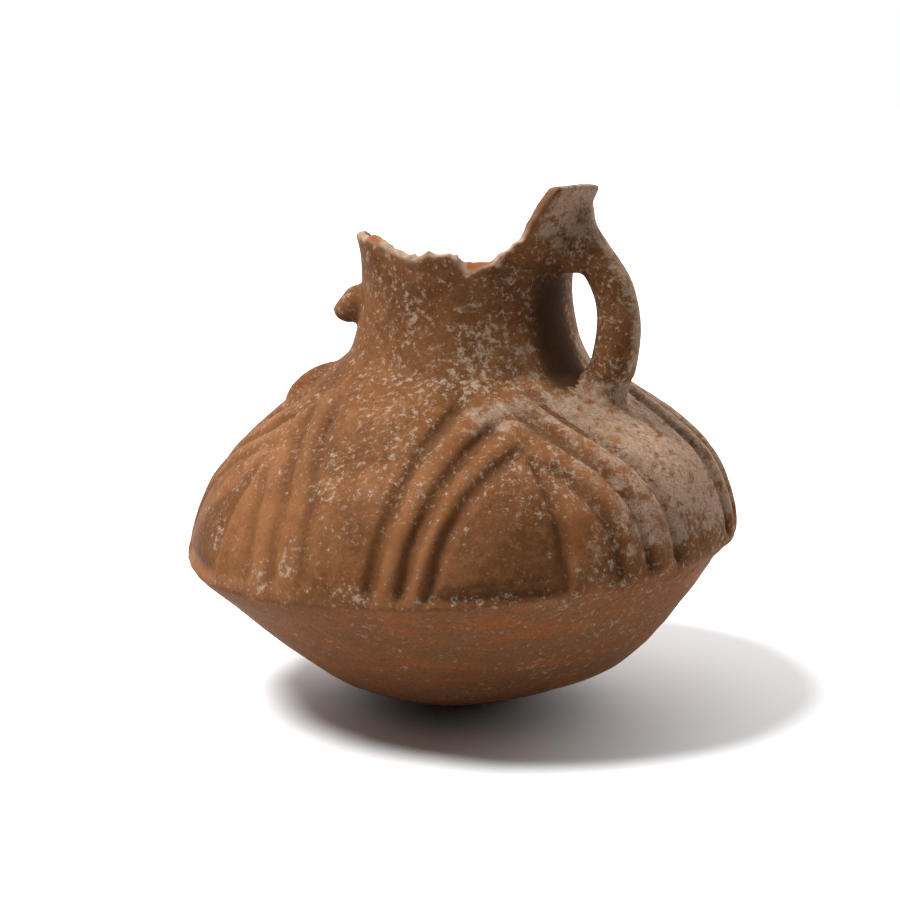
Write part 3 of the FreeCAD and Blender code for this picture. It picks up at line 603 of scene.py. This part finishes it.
class Nodes:
    """Short ways to add and link shader nodes."""

    def __init__(self, tree):
        self.tree = tree
        tree.nodes.clear()

    def add(self, kind, **settings):
        node = self.tree.nodes.new(kind)
        for key, value in settings.items():
            setattr(node, key, value)
        return node

    def feed(self, socket, source):
        if isinstance(source, bpy.types.NodeSocket):
            self.tree.links.new(source, socket)
        else:
            socket.default_value = source

    def math(self, operation, first, second=0.0, clamp=False):
        node = self.add("ShaderNodeMath", operation=operation, use_clamp=clamp)
        self.feed(node.inputs[0], first)
        self.feed(node.inputs[1], second)
        return node.outputs[0]

    def field(self, name):
        return self.add("ShaderNodeAttribute", attribute_name=name).outputs["Fac"]

    def ramp(self, low, high, source):
        node = self.add("ShaderNodeMapRange", interpolation_type="SMOOTHSTEP")
        self.feed(node.inputs["Value"], source)
        node.inputs["From Min"].default_value = low
        node.inputs["From Max"].default_value = high
        return node.outputs["Result"]

    def vector(self, operation, first, second):
        node = self.add("ShaderNodeVectorMath", operation=operation)
        self.feed(node.inputs[0], first)
        self.feed(node.inputs[1], second)
        return node.outputs[0]

    def noise(self, place, scale, detail=3.0, roughness=0.55, stretch=None, distortion=0.0):
        if stretch is not None:
            node = self.add("ShaderNodeMapping")
            self.feed(node.inputs["Vector"], place)
            node.inputs["Scale"].default_value = stretch
            place = node.outputs["Vector"]
        node = self.add("ShaderNodeTexNoise")
        self.feed(node.inputs["Vector"], place)
        node.inputs["Scale"].default_value = scale
        node.inputs["Detail"].default_value = detail
        node.inputs["Roughness"].default_value = roughness
        node.inputs["Distortion"].default_value = distortion
        return node.outputs["Fac"]

    def along(self, vector, direction):
        """How far a vector points along a fixed direction, from -1 to 1."""
        node = self.add("ShaderNodeVectorMath", operation="DOT_PRODUCT")
        self.feed(node.inputs[0], vector)
        node.inputs[1].default_value = direction
        return node.outputs["Value"]

    def mix(self, share, first, second, blend="MIX"):
        node = self.add("ShaderNodeMix", data_type="RGBA", blend_type=blend)
        self.feed(node.inputs["Factor"], share)
        self.feed(node.inputs["A"], first)
        self.feed(node.inputs["B"], second)
        return [output for output in node.outputs if output.type == "RGBA"][0]


# Colours of the clay, linear
SLIP = (0.164, 0.063, 0.022, 1.0)
PALE_SLIP_AND_HIGHLIGHT = (0.238, 0.101, 0.042, 1.0)
DARK_SLIP_AND_SHADE = (0.075, 0.032, 0.013, 1.0)
UNDERSIDE = (0.200, 0.089, 0.043, 1.0)
UNDERSIDE_RED = (0.285, 0.096, 0.034, 1.0)
SOOT_AND_SHADE = (0.022, 0.012, 0.007, 1.0)
LIME_AND_SHEEN_COLOUR = (0.380, 0.285, 0.205, 1.0)
CRUST_AND_LIT_SIDE_COLOUR = (0.335, 0.245, 0.180, 1.0)
CRUST_LINES = (0.150, 0.068, 0.028, 1.0)
BREAK = (0.430, 0.300, 0.205, 1.0)
BREAK_RED = (0.260, 0.095, 0.035, 1.0)
BREAK_GREY = (0.300, 0.245, 0.185, 1.0)
INSIDE = (0.120, 0.058, 0.028, 1.0)

# Surface of the clay: roughness, how much rougher lime and crust are, gloss, and the relief in millimetres
ROUGHNESS = 0.47
PALE_ROUGHNESS = 0.3
SPECULAR = 0.01
BUMP_STRENGTH = 0.45
BUMP_DEPTH = 0.35

# Marks on the surface, each from one point to another, in millimetres
RED_SCRATCHES = (
    ((-30.5, -88.0, 46.0), (-10.0, -80.0, 34.0)),
    ((-52.0, -80.0, 49.0), (-26.0, -66.0, 27.0)),
    ((-44.0, -80.0, 44.0), (-30.0, -72.0, 32.0)),
    ((8.0, -86.0, 42.0), (44.0, -84.0, 50.0)),
    ((-80.0, -52.0, 50.0), (-62.0, -50.0, 34.0)),
    ((-74.0, -58.0, 50.0), (-50.0, -62.0, 32.0)),
)
INCISED_LINES = (
    ((-29.0, -27.0, 149.0), (-23.5, -33.0, 149.5)),
    ((-23.5, -33.0, 149.5), (-17.0, -37.0, 146.5)),
    ((-16.0, -37.5, 146.0), (-8.0, -40.5, 142.5)),
    ((-8.0, -40.5, 142.5), (2.0, -42.5, 139.0)),
)
DARK_PITS = (
    ((68.5, -16.5, 118.0), (71.5, -13.5, 116.5)),
    ((9.5, -48.5, 131.5), (10.3, -48.5, 131.0)),
)
RED_BREAKS = (
    ((-31.3, -15.6, 179.5), (-29.0, -22.0, 178.0)),
    ((6.0, -38.0, 172.0), (14.0, -36.0, 172.0)),
)


def line_mark(nodes, place, start, end, width):
    """A thin straight mark between two points in millimetres, 1 along it and 0 away from it."""
    step = Vector(end) - Vector(start)
    offset = nodes.vector("SUBTRACT", place, start)
    share = nodes.math("DIVIDE", nodes.along(offset, step), step.length_squared, clamp=True)
    scaled = nodes.add("ShaderNodeVectorMath", operation="SCALE")
    scaled.inputs[0].default_value = step
    nodes.feed(scaled.inputs["Scale"], share)
    gap = nodes.add("ShaderNodeVectorMath", operation="DISTANCE")
    nodes.feed(gap.inputs[0], offset)
    nodes.feed(gap.inputs[1], scaled.outputs[0])
    return nodes.ramp(width, width * 0.3, gap.outputs["Value"])


def marks(nodes, place, lines, width):
    """Several thin marks as one mask."""
    total = line_mark(nodes, place, *lines[0], width)
    for start, end in lines[1:]:
        total = nodes.math("MAXIMUM", total, line_mark(nodes, place, start, end, width))
    return total


def clay_material():
    """Burnished clay: brown slip, lime flakes, a pale crust on the right, tan breaks; painted shade in the
    grooves, on the neck and beside the handle, painted highlights on the ridges and the left shoulder.
    """
    material = bpy.data.materials.new("fired_clay")
    material.use_nodes = True
    nodes = Nodes(material.node_tree)
    place = nodes.add("ShaderNodeVectorMath", operation="SCALE")
    nodes.feed(place.inputs[0], nodes.add("ShaderNodeTexCoord").outputs["Object"])
    place.inputs["Scale"].default_value = 1.0 / MM
    place = place.outputs[0]
    split = nodes.add("ShaderNodeSeparateXYZ")
    nodes.feed(split.inputs[0], place)
    height = split.outputs["Z"]
    groove = nodes.field("groove")
    crease = nodes.field("crease")
    broken = nodes.field("broken")

    # Slip: mottled brown, darker inside the chevrons, redder and plainer below the waist
    mottle = nodes.noise(place, 1.0 / 16.0, 5.0, 0.65)
    colour = nodes.mix(nodes.ramp(0.36, 0.64, mottle), SLIP, PALE_SLIP_AND_HIGHLIGHT)
    shade = nodes.ramp(0.44, 0.62, nodes.noise(place, 1.0 / 30.0, 4.0, 0.6))
    colour = nodes.mix(nodes.math("MULTIPLY", shade, 0.6), colour, DARK_SLIP_AND_SHADE)
    # Darker slip on the chevron panels, and painted shade on the neck from about 118 mm up
    panel_tone_and_neck_shade = nodes.math("MULTIPLY", nodes.field("panel"), 0.75)
    panel_tone_and_neck_shade = nodes.math("MAXIMUM", panel_tone_and_neck_shade, nodes.math("MULTIPLY", nodes.ramp(118.0, 136.0, height), 0.35))
    colour = nodes.mix(panel_tone_and_neck_shade, colour, DARK_SLIP_AND_SHADE)
    under = nodes.ramp(64.0, 58.0, height)
    streak = nodes.noise(place, 1.0 / 12.0, 5.0, 0.7, stretch=(0.35, 0.35, 1.6))
    underside = nodes.mix(nodes.ramp(0.45, 0.62, streak), UNDERSIDE, UNDERSIDE_RED)
    colour = nodes.mix(nodes.math("MULTIPLY", under, 0.85), colour, underside)
    rubbed = nodes.ramp(0.44, 0.68, nodes.noise(place, 1.0 / 3.2, 6.0, 0.8))
    colour = nodes.mix(nodes.math("MULTIPLY", rubbed, 0.55), colour, PALE_SLIP_AND_HIGHLIGHT)
    grain = nodes.noise(place, 1.0 / 1.3, 4.0, 0.7)
    colour = nodes.mix(nodes.math("MULTIPLY", nodes.ramp(0.45, 0.7, grain), 0.45), colour, DARK_SLIP_AND_SHADE)

    # Painted shade: the dark strip on the neck beside the handle, where the handle shades it
    colour = nodes.mix(nodes.math("MULTIPLY", nodes.field("handle_shade"), 0.8), colour, SOOT_AND_SHADE)

    # Painted light: grooves and creases are darkened as painted shade, ridges made paler as a painted
    # highlight
    colour = nodes.mix(nodes.math("MULTIPLY", nodes.field("ridge"), 0.4), colour, PALE_SLIP_AND_HIGHLIGHT)
    colour = nodes.mix(nodes.math("MULTIPLY", groove, 0.55), colour, DARK_SLIP_AND_SHADE)
    crease_shade = nodes.math("MULTIPLY", crease, nodes.ramp(0.32, 0.50, nodes.noise(place, 1.0 / 5.0, 3.0)))
    colour = nodes.mix(nodes.math("MULTIPLY", crease_shade, 0.85), colour, SOOT_AND_SHADE)

    # Crust, broken up, with fine curling lines of bare clay in it; on the handle it stands partly for
    # painted light
    cover = nodes.noise(place, 1.0 / 5.5, 6.0, 0.72)
    threshold = nodes.math("SUBTRACT", 0.66, nodes.math("MULTIPLY", nodes.field("crust_and_lit_side"), 0.25))
    crust_and_lit_side = nodes.ramp(-0.05, 0.10, nodes.math("SUBTRACT", cover, threshold))
    crust_and_lit_side = nodes.math("MULTIPLY", crust_and_lit_side, nodes.ramp(0.05, 0.35, nodes.field("crust_and_lit_side")))
    crust_and_lit_side = nodes.math("MULTIPLY", crust_and_lit_side, nodes.math("SUBTRACT", 1.0, nodes.math("MULTIPLY", crease_shade, 0.7)))
    curl = nodes.noise(place, 1.0 / 3.4, 2.5, 0.55, distortion=1.8)
    curl_line = nodes.ramp(0.030, 0.008, nodes.math("ABSOLUTE", nodes.math("SUBTRACT", curl, 0.5)))
    tone = nodes.ramp(0.35, 0.65, nodes.noise(place, 1.0 / 2.0, 4.0, 0.7))
    crust_and_lit_side_colour = nodes.mix(nodes.math("MULTIPLY", tone, 0.35), CRUST_AND_LIT_SIDE_COLOUR, PALE_SLIP_AND_HIGHLIGHT)
    crust_and_lit_side_colour = nodes.mix(nodes.math("MULTIPLY", curl_line, 0.8), crust_and_lit_side_colour, CRUST_LINES)
    colour = nodes.mix(nodes.math("MULTIPLY", crust_and_lit_side, 0.80), colour, crust_and_lit_side_colour)

    # Lime: fine flakes everywhere, thicker where the field says so, and a painted highlight of pale flakes
    # on the left front shoulder
    flake = nodes.noise(place, 1.0 / 2.4, 6.0, 0.8)
    density = nodes.math("ADD", nodes.field("lime_and_sheen"), nodes.noise(place, 1.0 / 18.0, 3.0, 0.6))
    threshold = nodes.math("SUBTRACT", 0.77, nodes.math("MULTIPLY", density, 0.17))
    lime_and_sheen = nodes.ramp(-0.02, 0.09, nodes.math("SUBTRACT", flake, threshold))
    lime_and_sheen = nodes.math("MULTIPLY", lime_and_sheen, nodes.math("SUBTRACT", 0.80, nodes.math("MULTIPLY", crease_shade, 0.5)))
    # No lime flakes on the painted shade beside the handle
    lime_and_sheen = nodes.math("MULTIPLY", lime_and_sheen, nodes.math("SUBTRACT", 1.0, nodes.field("handle_shade")))
    colour = nodes.mix(lime_and_sheen, colour, LIME_AND_SHEEN_COLOUR)

    # Scratches down to the redder clay, a few incised lines and two dark pits
    red = marks(nodes, place, RED_SCRATCHES, 1.1)
    colour = nodes.mix(nodes.math("MULTIPLY", red, 0.85), colour, UNDERSIDE_RED)
    incised = marks(nodes, place, INCISED_LINES, 0.45)
    colour = nodes.mix(nodes.math("MULTIPLY", incised, 0.6), colour, PALE_SLIP_AND_HIGHLIGHT)
    pit = marks(nodes, place, DARK_PITS, 1.7)
    colour = nodes.mix(nodes.math("MULTIPLY", pit, 0.9), colour, SOOT_AND_SHADE)

    # Broken faces and the inside
    grit = nodes.ramp(0.35, 0.65, nodes.noise(place, 1.0 / 1.8, 5.0, 0.75))
    patch = nodes.ramp(0.50, 0.62, nodes.noise(place, 1.0 / 14.0, 2.0, 0.5))
    break_colour = nodes.mix(patch, BREAK, BREAK_GREY)
    break_colour = nodes.mix(nodes.math("MULTIPLY", grit, 0.45), break_colour, PALE_SLIP_AND_HIGHLIGHT)
    high = nodes.math("MULTIPLY", nodes.ramp(181.0, 187.0, height), 0.75)
    break_colour = nodes.mix(high, break_colour, SLIP)
    colour = nodes.mix(broken, colour, break_colour)
    glow = nodes.math("MULTIPLY", broken, marks(nodes, place, RED_BREAKS, 3.5))
    colour = nodes.mix(glow, colour, BREAK_RED)
    hidden = nodes.math("MULTIPLY", nodes.field("inside"), nodes.math("SUBTRACT", 1.0, broken))
    colour = nodes.mix(nodes.math("MULTIPLY", hidden, 0.7), colour, INSIDE)

    # Relief too fine for the mesh
    pale = nodes.math("MAXIMUM", lime_and_sheen, nodes.math("MULTIPLY", crust_and_lit_side, 0.8))
    relief = nodes.math("ADD", nodes.math("MULTIPLY", pale, 0.5), nodes.math("MULTIPLY", grain, 0.9))
    curls = nodes.math("MULTIPLY", nodes.math("MULTIPLY", crust_and_lit_side, curl_line), 0.4)
    relief = nodes.math("SUBTRACT", relief, curls)
    relief = nodes.math("SUBTRACT", relief, nodes.math("MAXIMUM", incised, pit))
    relief = nodes.math("ADD", relief, nodes.math("MULTIPLY", nodes.math("MULTIPLY", broken, grit), 2.0))
    bump = nodes.add("ShaderNodeBump")
    bump.inputs["Strength"].default_value = BUMP_STRENGTH
    bump.inputs["Distance"].default_value = BUMP_DEPTH * MM
    nodes.feed(bump.inputs["Height"], relief)

    shader = nodes.add("ShaderNodeBsdfPrincipled")
    nodes.feed(shader.inputs["Base Color"], colour)
    rough = nodes.math("ADD", ROUGHNESS, nodes.math("MULTIPLY", pale, PALE_ROUGHNESS))
    nodes.feed(shader.inputs["Roughness"], rough)
    nodes.feed(shader.inputs["Normal"], bump.outputs["Normal"])
    shader.inputs["Specular IOR Level"].default_value = SPECULAR
    output = nodes.add("ShaderNodeOutputMaterial")
    nodes.feed(output.inputs["Surface"], shader.outputs[0])
    return material


# Stage: the white floor and how bright it shows and bounces, the lamp, the sky and the camera
FLOOR_SIZE = 6.0
FLOOR_SEEN = 0.75
FLOOR_BOUNCE = 0.5
KEY_TRAVEL = (0.56, 0.13, -1.0)
KEY_STRENGTH = 5.0
KEY_ANGLE = 18.0
SKY_BASE = 0.04
SKY_TOP = 2.1
SKY_TOP_TOWARD = (0.05, 0.90, 0.43)
SKY_RIM = 2.6
SKY_RIM_TOWARD = (0.55, 0.83, 0.05)
CAMERA_ELEVATION = 12.0
CAMERA_DISTANCE = 0.9625
CAMERA_TARGET = (-0.002, 0.0, 0.0955)
LENS = 100.0


def background_seen(nodes):
    """1 for the rays that show the background: straight, mirrored or through glass."""
    path = nodes.add("ShaderNodeLightPath")
    seen = nodes.math("MAXIMUM", path.outputs["Is Camera Ray"], path.outputs["Is Glossy Ray"])
    return nodes.math("MAXIMUM", seen, path.outputs["Is Transmission Ray"])


def floor_material():
    """Matt white paper, which throws less light back up at the jug than it shows."""
    material = bpy.data.materials.new("floor_white")
    material.use_nodes = True
    nodes = Nodes(material.node_tree)
    shader = nodes.add("ShaderNodeBsdfPrincipled")
    bounce = (FLOOR_BOUNCE, FLOOR_BOUNCE, FLOOR_BOUNCE, 1.0)
    shown = (FLOOR_SEEN, FLOOR_SEEN, FLOOR_SEEN, 1.0)
    nodes.feed(shader.inputs["Base Color"], nodes.mix(background_seen(nodes), bounce, shown))
    shader.inputs["Roughness"].default_value = 1.0
    shader.inputs["Specular IOR Level"].default_value = 0.0
    output = nodes.add("ShaderNodeOutputMaterial")
    nodes.feed(output.inputs["Surface"], shader.outputs[0])
    return material


def make_floor():
    bpy.ops.mesh.primitive_plane_add(size=FLOOR_SIZE)
    floor = bpy.context.object
    floor.name = "floor"
    floor.data.materials.append(floor_material())
    return floor


def add_key_light():
    """A soft lamp high on the left, a little to the front."""
    lamp = bpy.data.lights.new("key", "SUN")
    lamp.energy = KEY_STRENGTH
    lamp.angle = math.radians(KEY_ANGLE)
    holder = bpy.data.objects.new("key", lamp)
    holder.rotation_euler = Vector(KEY_TRAVEL).to_track_quat("-Z", "Y").to_euler()
    bpy.context.scene.collection.objects.link(holder)


def set_world():
    """White where the background is seen; a dimmer sky, brighter behind and above, fills the shadows."""
    world = bpy.data.worlds.new("studio")
    bpy.context.scene.world = world
    world.use_nodes = True
    nodes = Nodes(world.node_tree)
    direction = nodes.add("ShaderNodeTexCoord").outputs["Generated"]
    top = nodes.math("MULTIPLY", nodes.ramp(0.0, 1.0, nodes.along(direction, SKY_TOP_TOWARD)), SKY_TOP)
    rim = nodes.math("MULTIPLY", nodes.ramp(0.55, 0.95, nodes.along(direction, SKY_RIM_TOWARD)), SKY_RIM)
    sky = nodes.math("ADD", nodes.math("ADD", top, rim), SKY_BASE)
    seen = background_seen(nodes)
    background = nodes.add("ShaderNodeBackground")
    background.inputs["Color"].default_value = (1.0, 1.0, 1.0, 1.0)
    unseen = nodes.math("SUBTRACT", 1.0, seen)
    nodes.feed(background.inputs["Strength"], nodes.math("ADD", nodes.math("MULTIPLY", unseen, sky), seen))
    output = nodes.add("ShaderNodeOutputWorld")
    nodes.feed(output.inputs["Surface"], background.outputs[0])


def set_camera():
    lens = bpy.data.cameras.new("camera")
    lens.lens = LENS
    lens.sensor_width = 36.0
    camera = bpy.data.objects.new("camera", lens)
    angle = math.radians(CAMERA_ELEVATION)
    back = Vector((0.0, -math.cos(angle), math.sin(angle))) * CAMERA_DISTANCE
    camera.location = Vector(CAMERA_TARGET) + back
    camera.rotation_euler = (-back).to_track_quat("-Z", "Y").to_euler()
    bpy.context.scene.collection.objects.link(camera)
    bpy.context.scene.camera = camera


def set_view():
    bpy.context.scene.view_settings.view_transform = "Standard"


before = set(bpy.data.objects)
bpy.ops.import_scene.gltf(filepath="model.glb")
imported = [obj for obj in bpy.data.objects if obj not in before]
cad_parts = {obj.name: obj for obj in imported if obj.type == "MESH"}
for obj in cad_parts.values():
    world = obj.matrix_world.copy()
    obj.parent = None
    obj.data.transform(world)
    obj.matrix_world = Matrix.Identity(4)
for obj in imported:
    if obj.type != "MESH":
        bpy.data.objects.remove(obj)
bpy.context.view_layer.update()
jug = make_jug(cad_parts["jug"])
jug.data.materials.clear()
jug.data.materials.append(clay_material())
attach(jug, "root")
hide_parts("jug")
make_floor()
add_key_light()
set_world()
set_camera()
set_view()
